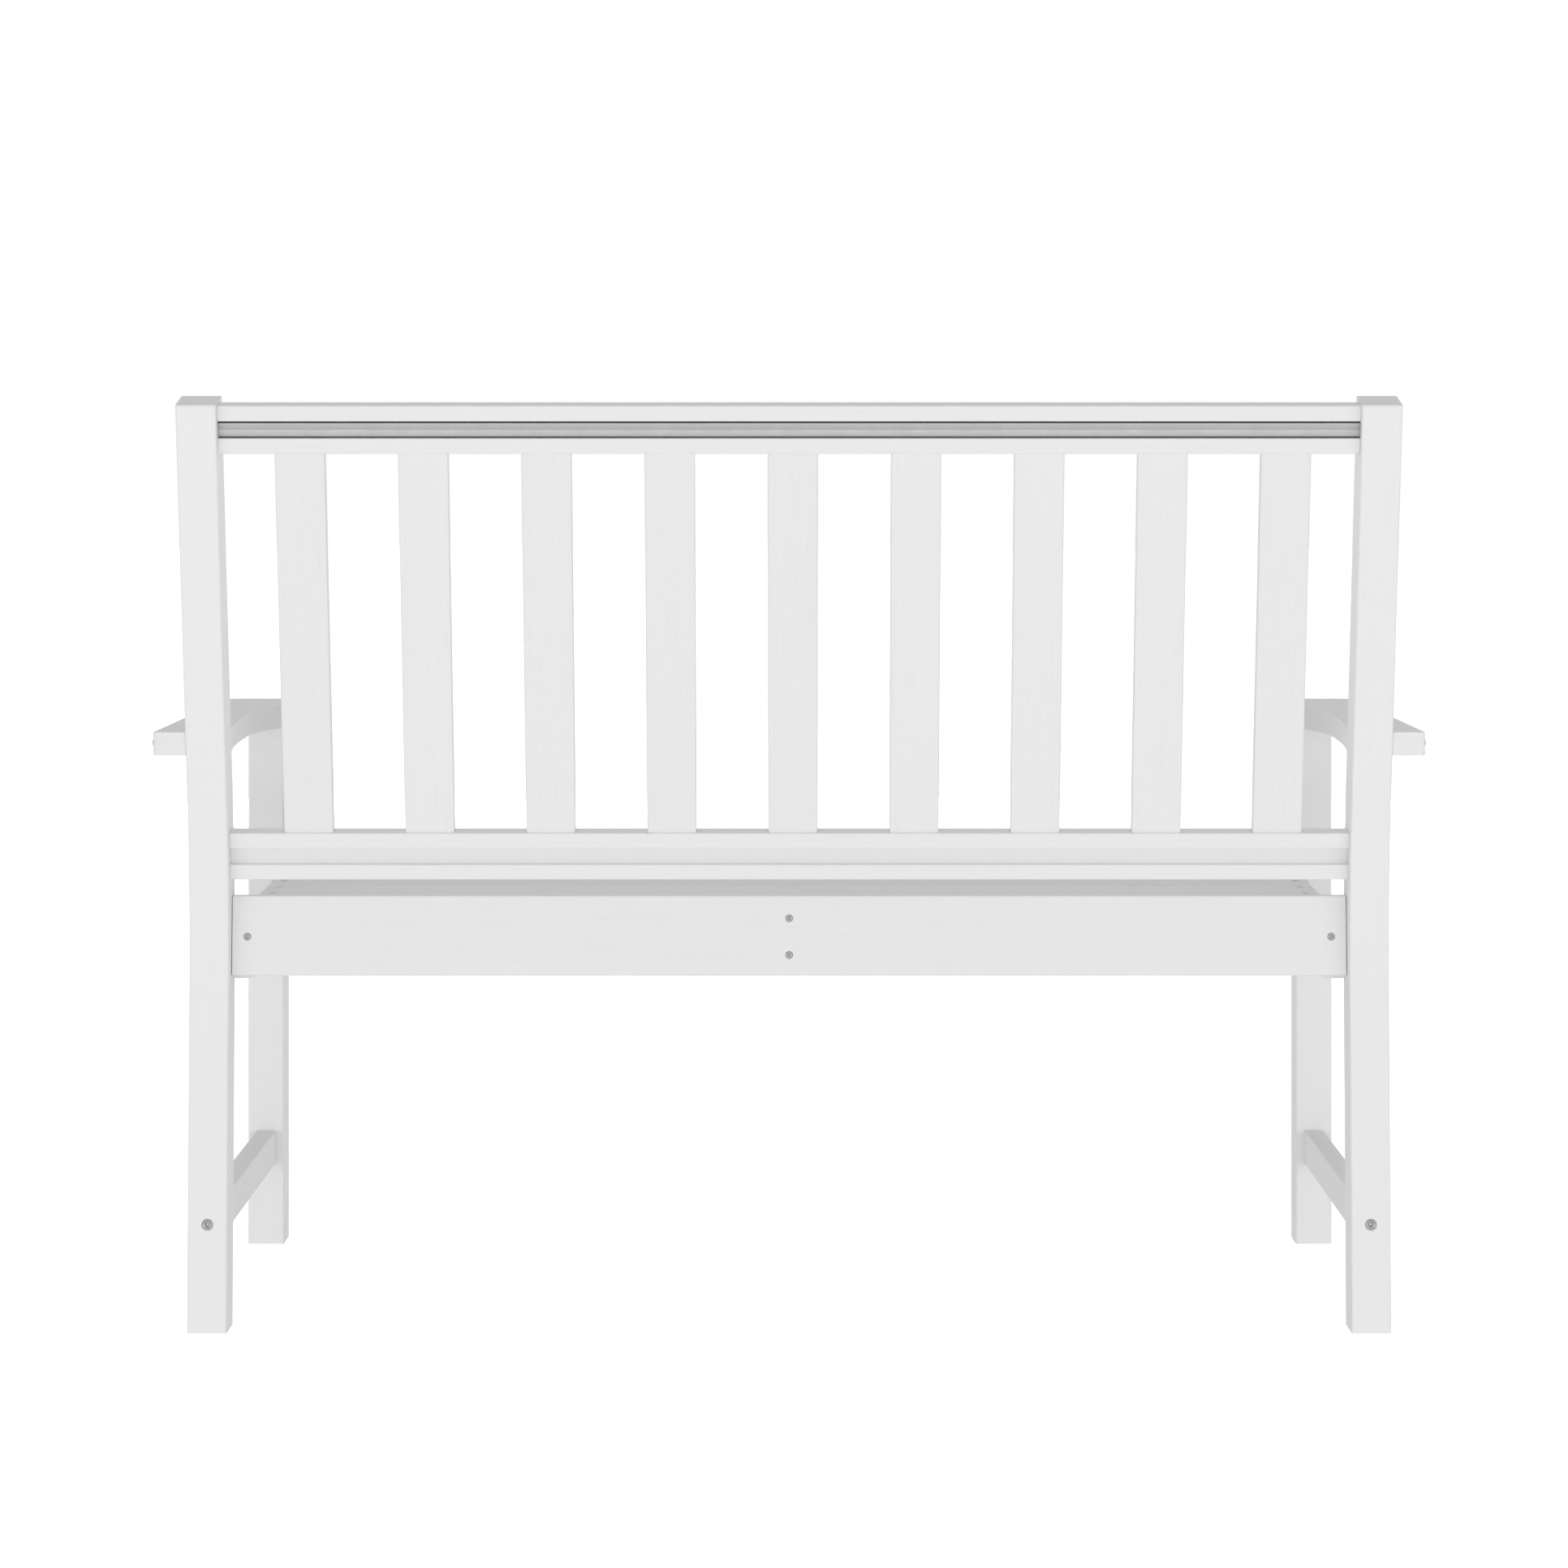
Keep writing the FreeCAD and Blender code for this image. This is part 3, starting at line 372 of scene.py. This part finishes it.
def fastener_places(node):
    """For each fastener of a group: the middle of its head's face and the way that it faces."""
    mesh = frame["nodes"][node].data
    corners = np.array([vertex.co for vertex in mesh.vertices])
    keys = [tuple(row) for row in np.round(corners / WELD).astype(int)]
    leader = {key: key for key in keys}

    def first(key):
        while leader[key] != key:
            key = leader[key]
        return key

    for face in mesh.polygons:
        touching = [first(keys[index]) for index in face.vertices]
        for key in touching[1:]:
            leader[first(key)] = first(touching[0])
    groups = {}
    for key in set(keys):
        groups.setdefault(first(key), []).append(key)
    places = []
    for members in groups.values():
        points = np.array(members) * WELD
        middle = points.mean(axis=0)
        axis = np.linalg.svd(points - middle)[2][0]
        along = (points - middle) @ axis
        sideways = np.linalg.norm(points - middle - np.outer(along, axis), axis=1)
        head = points[sideways > HEAD_SHARE * sideways.max()]
        if ((head - middle) @ axis).mean() < 0:
            axis = -axis
        reach = ((points - middle) @ axis).max()
        centre = head.mean(axis=0)
        face = centre + axis * (reach - (centre - middle) @ axis)
        places.append((Vector(face), Vector(axis)))
    return sorted(places, key=lambda place: tuple(round(part, 4) for part in place[0]))


# Fasteners: their forms in millimetres, made once at the origin, facing +Z

ROUND_SIDES = 32
FASTENER_SMOOTH_ANGLE = math.radians(32)
LOBES = 6
LOBE_SWELL = 0.17
BIT_TAPER = 0.45
BIT_ABOVE_FACE = 0.3


def turned(name, profile, closed=False):
    """A round piece made by extruding one ring along a profile of radius and height."""
    bpy.ops.object.select_all(action="DESELECT")
    radius, height = profile[0]
    bpy.ops.mesh.primitive_circle_add(vertices=ROUND_SIDES, radius=radius * MM, fill_type="NOTHING",
                                      location=(0, 0, height * MM))
    piece = bpy.context.object
    piece.name = name
    bpy.ops.object.transform_apply(location=True, rotation=True, scale=True)
    bpy.ops.object.mode_set(mode="EDIT")
    bpy.ops.mesh.select_all(action="SELECT")
    if not closed:
        bpy.ops.mesh.edge_face_add()
    for next_radius, next_height in profile[1:]:
        share = next_radius / radius
        rise = (0, 0, (next_height - height) * MM)
        bpy.ops.mesh.extrude_region_move(TRANSFORM_OT_translate={"value": rise})
        bpy.ops.transform.resize(value=(share, share, 1), center_override=(0, 0, next_height * MM))
        radius, height = next_radius, next_height
    if closed:
        bpy.ops.mesh.select_all(action="SELECT")
        bpy.ops.mesh.remove_doubles(threshold=WELD)
    bpy.ops.mesh.select_all(action="SELECT")
    bpy.ops.mesh.normals_make_consistent(inside=False)
    bpy.ops.object.mode_set(mode="OBJECT")
    return piece


def tapered_bit(sides, floor, mouth, depth, top):
    """A tapered cutter, by the radii of its floor and its mouth and the height of its mouth."""
    bpy.ops.object.select_all(action="DESELECT")
    bpy.ops.mesh.primitive_cone_add(vertices=sides, radius1=floor * MM, radius2=mouth * MM,
                                    depth=depth * MM, location=(0, 0, (top - depth / 2) * MM))
    bit = bpy.context.object
    bpy.ops.object.transform_apply(location=True, rotation=True, scale=True)
    return bit


def lobed_bit(radius, depth):
    """A tapered star, the form that a lobed driver's recess has."""
    bit = tapered_bit(4 * LOBES, BIT_TAPER * radius, radius, depth, BIT_ABOVE_FACE)
    for corner in bit.data.vertices:
        turn = math.atan2(corner.co.y, corner.co.x)
        swell = 1 + LOBE_SWELL * math.cos(LOBES * turn)
        corner.co.x *= swell
        corner.co.y *= swell
    return bit


def cut(piece, bit):
    """Cuts a bit's form out of a piece."""
    apply_modifier(piece, "BOOLEAN", operation="DIFFERENCE", solver="EXACT", object=bit)
    drop(bit)


def low_head_screw(name, radius, head, length, shank, drive):
    """Screw with a low flat head, a soft rim and a six lobed recess; its face is at height 0."""
    screw = turned(name, [
        (shank, -length), (shank, -head), (radius - 0.1, -head), (radius, -head + 0.2), (radius, -0.55),
        (radius - 0.16, -0.22), (radius - 0.5, -0.04), (radius - 0.9, 0),
    ])
    cut(screw, lobed_bit(drive, head * 0.75))
    return screw


def dome_head_screw(name, radius, head, length, shank):
    """Screw with a domed head that stands proud and a six lobed recess; the dome's top is at height 0."""
    screw = turned(name, [
        (shank, -length), (shank, -head), (radius - 0.2, -head), (radius, -head + 0.3),
        (radius, -head + 0.9), (radius * 0.93, -head * 0.42), (radius * 0.76, -head * 0.18),
        (radius * 0.5, -head * 0.03), (radius * 0.42, 0),
    ])
    cut(screw, lobed_bit(radius * 0.4, head * 0.6))
    return screw


def dished_bolt(name, length, shank):
    """Bolt whose dished head fills its washer's cone, with a hexagon socket; height 0 is the washer's rim."""
    bolt = turned(name, [
        (shank, -length), (shank, -2.1), (4.1, -2.1), (4.6, -0.75), (4.6, -0.5), (4.45, -0.42),
        (2.75, -1.25), (2.6, -1.3),
    ])
    cut(bolt, tapered_bit(6, floor=1.7, mouth=2.75, depth=1.5, top=-1.15))
    return bolt


def cup_washer(name, hole, inner, outer, depth, sheet):
    """Dished washer pressed from sheet: a flat rim and a cone that the bolt's head sits in."""
    return turned(name, [
        (hole, -depth), (inner, -depth), (outer - 0.5, -sheet * 0.75), (outer, -sheet * 0.5),
        (outer, -0.15), (outer - 0.25, 0), (outer - 0.7, -0.05), (inner + 0.35, -depth + sheet),
        (hole, -depth + sheet), (hole, -depth),
    ], closed=True)


def set_out(name, model, places, node, slot, sunk=0.0, tone=0.0):
    """Copies a fastener to every place of a group and joins the copies into the group's piece."""
    dice = random.Random(name)
    copies = []
    for point, outward in places:
        copy = bpy.data.objects.new(name, model.data.copy())
        bpy.context.scene.collection.objects.link(copy)
        roll = Matrix.Rotation(dice.uniform(0, math.tau), 4, "Z")
        copy.data.transform(Matrix.Translation(point - outward * sunk * MM) @ facing(outward) @ roll)
        copies.append(copy)
    drop(model)
    piece = joined(copies)
    piece.name = name
    smooth_below(piece, FASTENER_SMOOTH_ANGLE)
    # every corner of the set carries the same darkening of its colour
    carry(piece, "set_darkening", [tone] * len(piece.data.vertices))
    hand_over(piece, node, slot)


# Boards: every lumber node, welded, with round recesses and soft arrises

RECESS_SIDES = 32
ARRIS = 0.45
ARRIS_SEGMENTS = 2
ARRIS_ANGLE = math.radians(40)
SMOOTH_ANGLE = math.radians(30)
FLAT_ANGLE = math.radians(0.25)
FACE_WEIGHT = 80
# A screw's face lies within this of the box of the board that it is sunk in
BOX_SLACK = 0.002
# The aprons reach this much farther at each end than in CAD, as the photograph's narrow gaps show
APRON_STRETCH = 0.6

BACK_NORMAL = Vector((0, math.cos(BACK_RECLINE), -math.sin(BACK_RECLINE)))
BACK_SLOPE = Vector((0, math.sin(BACK_RECLINE), math.cos(BACK_RECLINE)))

# Back rails: the floors of their grooves lie this deep and this near to their middle line
BACK_RAILS = ("back_top_rail", "back_bottom_rail")
GROOVE_DEPTHS = (0.004, 0.011)
GROOVE_REACH = 0.010
# Painted shade: this darkens the colour of the groove floors, partly for the shade that falls in the groove
# and partly for the duller milled surface
GROOVE_SHADE_AND_MILLED_TONE = 0.8
# The spans of X that their mortises take, a little wider than the slats
MORTISE_SLACK = 0.0016
MORTISES = [(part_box(node)[0][0] - MORTISE_SLACK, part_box(node)[1][0] + MORTISE_SLACK)
            for node in frame["nodes"] if node.startswith("back_slat")]

# The stiffening bar's guide line: its depth in CAD, how far its floor is raised, and a slack to find it
GUIDE_DEPTH = 0.4
GUIDE_LIFT = 0.28
GUIDE_SLACK = 0.1


def near(point, low, high):
    """Whether a point lies in a box or just beside it."""
    return all(a - BOX_SLACK < part < b + BOX_SLACK for part, a, b in zip(point, low, high))


def recess_bits(node, recesses):
    """One cutter for the round recesses of the screws whose heads lie in a node."""
    low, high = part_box(node)
    bits = []
    for places, radius, depth in recesses:
        for point, outward in places:
            if not near(point, low, high):
                continue
            bpy.ops.object.select_all(action="DESELECT")
            bpy.ops.mesh.primitive_cylinder_add(vertices=RECESS_SIDES, radius=radius * MM,
                                                depth=2 * depth * MM)
            bit = bpy.context.object
            bit.data.transform(Matrix.Translation(point) @ facing(outward))
            bits.append(bit)
    return joined(bits) if bits else None


def welded_copy(node):
    """The node's own form with its corners joined and its flat faces whole."""
    piece = bpy.data.objects.new(node + "_board", frame["nodes"][node].data.copy())
    bpy.context.scene.collection.objects.link(piece)
    only(piece)
    bpy.ops.mesh.customdata_custom_splitnormals_clear()
    bpy.ops.object.mode_set(mode="EDIT")
    bpy.ops.mesh.select_all(action="SELECT")
    bpy.ops.mesh.remove_doubles(threshold=WELD)
    bpy.ops.mesh.dissolve_limited(angle_limit=FLAT_ANGLE)
    bpy.ops.object.mode_set(mode="OBJECT")
    return piece


def mark_arrises(piece, spared):
    """Weighs every sharp edge for the bevel, apart from the rims of mortises in the spared spans of X."""
    mesh = piece.data
    sides = {}
    for face in mesh.polygons:
        for key in face.edge_keys:
            sides.setdefault(key, []).append(face.normal)
    weights = mesh.attributes.new("bevel_weight_edge", "FLOAT", "EDGE")
    for edge, weight in zip(mesh.edges, weights.data):
        pair = sides[edge.key]
        sharp = len(pair) == 2 and pair[0].angle(pair[1], 0) > ARRIS_ANGLE
        ends = [mesh.vertices[index].co.x for index in edge.vertices]
        rim = any(low < min(ends) and max(ends) < high for low, high in spared)
        weight.value = 1.0 if sharp and not rim else 0.0


def soften(piece):
    """Small arrises on the marked edges, and shading that keeps flat faces flat."""
    apply_modifier(piece, "BEVEL", width=ARRIS * MM, segments=ARRIS_SEGMENTS, limit_method="WEIGHT",
                   use_clamp_overlap=True, miter_outer="MITER_ARC")
    smooth_below(piece, SMOOTH_ANGLE)
    apply_modifier(piece, "WEIGHTED_NORMAL", mode="FACE_AREA", weight=FACE_WEIGHT, keep_sharp=True)


def on_groove_floor(piece):
    """For each corner of a back rail, whether it lies on the floor of the rail's milled groove."""
    corners = [vertex.co for vertex in piece.data.vertices]
    face = max(corner.dot(BACK_NORMAL) for corner in corners)
    ups = [corner.dot(BACK_SLOPE) for corner in corners]
    middle = (min(ups) + max(ups)) / 2
    shallow, deep = GROOVE_DEPTHS
    return [shallow < face - corner.dot(BACK_NORMAL) < deep and abs(up - middle) < GROOVE_REACH
            for corner, up in zip(corners, ups)]


def stretch_ends(piece):
    """Moves the two ends of an apron outward."""
    end = max(corner.co.x for corner in piece.data.vertices) - MM
    for corner in piece.data.vertices:
        if abs(corner.co.x) > end:
            corner.co.x += math.copysign(APRON_STRETCH * MM, corner.co.x)


def board(node, recesses, tone):
    """The node's own form, finished: round recesses, soft arrises, smooth rounds, flat faces."""
    piece = welded_copy(node)
    if node.endswith("apron"):
        stretch_ends(piece)
    bit = recess_bits(node, recesses)
    if bit:
        cut(piece, bit)
    rail = node in BACK_RAILS
    mark_arrises(piece, MORTISES if rail else [])
    soften(piece)
    tones = [tone] * len(piece.data.vertices)
    if rail:
        # painted shade: corners on the back rails' groove floors get a darker tone
        tones = [tone + (GROOVE_SHADE_AND_MILLED_TONE if gets_groove_shade else 0) for gets_groove_shade in on_groove_floor(piece)]
    carry(piece, "board_tone_and_groove_shade", tones)
    hand_over(piece, node, SLOTS[node])


def bar(node):
    """The stiffening bar, with its guide line no deeper than a scratch."""
    piece = welded_copy(node)
    face = max(corner.co.dot(BACK_NORMAL) for corner in piece.data.vertices)
    for corner in piece.data.vertices:
        if abs(face - corner.co.dot(BACK_NORMAL) - GUIDE_DEPTH * MM) < GUIDE_SLACK * MM:
            corner.co += BACK_NORMAL * GUIDE_LIFT * MM
    smooth_below(piece, SMOOTH_ANGLE)
    hand_over(piece, node, SLOTS[node])


# The bench

seat_places = fastener_places("seat_screws")
apron_places = fastener_places("apron_screws")
frame_places = fastener_places("frame_screws")
arm_places = fastener_places("arm_screws")
bolt_places = fastener_places("stretcher_bolts")

# CAD's bolt heads stand this far above the post; the dished bolts and their washers are set level with it
BOLT_FACE_ABOVE_POST = 0.8

set_out("seat_screw_set",
        low_head_screw("seat_screw", radius=3.65, head=1.7, length=30, shank=1.8, drive=1.1),
        seat_places, "seat_screws", "fastener_steel", sunk=0.05)
set_out("apron_screw_set",
        low_head_screw("apron_screw", radius=3.3, head=1.7, length=34, shank=1.8, drive=2.0),
        apron_places, "apron_screws", "fastener_steel", sunk=0.8, tone=0.6)
set_out("frame_screw_set",
        low_head_screw("frame_screw", radius=4.5, head=2.5, length=68, shank=2.6, drive=1.9),
        frame_places, "frame_screws", "fastener_steel", sunk=0.3, tone=0.75)
set_out("arm_screw_set",
        dome_head_screw("arm_screw", radius=4.8, head=2.9, length=60, shank=2.6),
        arm_places, "arm_screws", "fastener_steel", tone=0.5)
set_out("stretcher_bolt_set",
        dished_bolt("stretcher_bolt", length=84, shank=2.9),
        bolt_places, "stretcher_bolts", "fastener_steel", sunk=BOLT_FACE_ABOVE_POST, tone=0.45)
set_out("stretcher_washer_set",
        cup_washer("cup_washer", hole=3.2, inner=3.9, outer=5.6, depth=3.3, sheet=1.1),
        bolt_places, "stretcher_washers", "washer_steel", sunk=BOLT_FACE_ABOVE_POST)

# Round recesses: the places of the heads that lie in them, their radius and their depth
RECESSES = [(seat_places + apron_places, 3.92, 1.85), (frame_places, 5.22, 2.65)]

# What a board adds to its colour's depth, where 0 is WHITE and 1 is WHITE_IN_FURROW. The spread sets one
# board off from another.
LEG_TONE = -0.05
BOARD_TONE = 0.3
TONE_SPREAD = 0.1

tones = random.Random("boards")
for node in sorted(frame["nodes"]):
    if SLOTS[node].startswith("lumber"):
        usual = LEG_TONE if "leg" in node else BOARD_TONE
        board(node, RECESSES, usual + tones.uniform(-TONE_SPREAD, TONE_SPREAD))
bar("top_rail_stiffener")
dowels = frame["nodes"]["arm_dowels"]
dowels.data.materials.clear()
dowels.data.materials.append(PAINTS["dowel_plastic"])


# Stage

PURE_WHITE = (1, 1, 1, 1)
FLOOR_SIZE = 60
FLOOR_WHITE = (0.86, 0.86, 0.86, 1)
# What the floor gives off to the camera and to the bench
FLOOR_LIFT = 0.70
FLOOR_GLOW = 0.17
# The light of the surroundings, and how much weaker it is from the bench's two sides
SKY = 0.65
SIDE_FALL = 0.28
# Name, place, what it aims at, size and power
LAMPS = [
    ("left_lamp", (1.3, -0.05, 0.5), (0, -0.05, 0.5), (0.6, 0.9), 0.4),
    ("right_lamp", (-1.3, -0.05, 0.5), (0, -0.05, 0.5), (0.6, 0.9), 0.4),
    ("rear_lamp", (0, 6.0, 0.6), (0, 0, 0.6), (20.0, 1.2), 238),
    ("front_lamp", (0, -6.0, 0.6), (0, 0, 0.6), (8.0, 1.2), 80),
]


def seen_directly(nodes):
    """1 for what the camera, a reflection or a see-through surface looks at, and 0 for bounced light."""
    camera, glossy, through = (nodes.node("ShaderNodeLightPath", output=name)
                               for name in ("Is Camera Ray", "Is Glossy Ray", "Is Transmission Ray"))
    return nodes.compute("MAXIMUM", nodes.compute("MAXIMUM", camera, glossy), through)


def lay_floor():
    """Plain pale floor that reads as white and still takes the bench's shadow."""
    bpy.ops.object.select_all(action="DESELECT")
    bpy.ops.mesh.primitive_plane_add(size=FLOOR_SIZE, location=(0, 0, 0))
    floor = bpy.context.object
    floor.name = "floor"
    paint = Paint("floor")
    matte = paint.node("ShaderNodeBsdfDiffuse", {}, {"Color": FLOOR_WHITE})
    glow = FLOOR_GLOW + seen_directly(paint) * (FLOOR_LIFT - FLOOR_GLOW)
    lift = paint.node("ShaderNodeEmission", {}, {"Color": PURE_WHITE, "Strength": glow})
    both = paint.node("ShaderNodeAddShader", {}, {0: matte, 1: lift})
    floor.data.materials.append(paint.finish(both))


def light_world():
    """Surroundings that look white and light the bench softly, least from its two sides."""
    world = bpy.data.worlds.new("studio")
    bpy.context.scene.world = world
    world.use_nodes = True
    nodes = Nodes(world.node_tree)
    direct = seen_directly(nodes)
    sideways = nodes.parts(nodes.node("ShaderNodeTexCoord", output="Generated"))["X"]
    soft = SKY - sideways * sideways * SIDE_FALL
    strength = soft + direct * (1 - soft)
    back = nodes.node("ShaderNodeBackground", {}, {"Color": PURE_WHITE, "Strength": strength})
    nodes.end(back, "ShaderNodeOutputWorld")


def soft_box(name, place, aim, size, power):
    """A rectangular studio lamp."""
    data = bpy.data.lights.new(name, "AREA")
    data.shape = "RECTANGLE"
    data.size, data.size_y = size
    data.energy = power
    lamp = bpy.data.objects.new(name, data)
    bpy.context.scene.collection.objects.link(lamp)
    lamp.location = place
    lamp.rotation_euler = (Vector(aim) - Vector(place)).to_track_quat("-Z", "Y").to_euler()
    lamp.visible_camera = False


def set_camera():
    """A level camera behind the bench, with the photograph's focal length and optical axis."""
    data = bpy.data.cameras.new("camera")
    camera = bpy.data.objects.new("camera", data)
    bpy.context.scene.collection.objects.link(camera)
    data.sensor_width = SENSOR_WIDTH
    data.lens = FOCAL_PIXELS / PHOTO_WIDTH * SENSOR_WIDTH
    half = PHOTO_WIDTH / 2
    data.shift_x = (half - OPTICAL_AXIS[0]) / PHOTO_WIDTH
    data.shift_y = (OPTICAL_AXIS[1] - half) / PHOTO_WIDTH
    camera.location = CAMERA_PLACE
    camera.rotation_euler = (math.radians(90), 0, math.radians(180))
    bpy.context.scene.camera = camera


lay_floor()
light_world()
for lamp in LAMPS:
    soft_box(*lamp)
set_camera()
bpy.context.scene.view_settings.view_transform = "Standard"
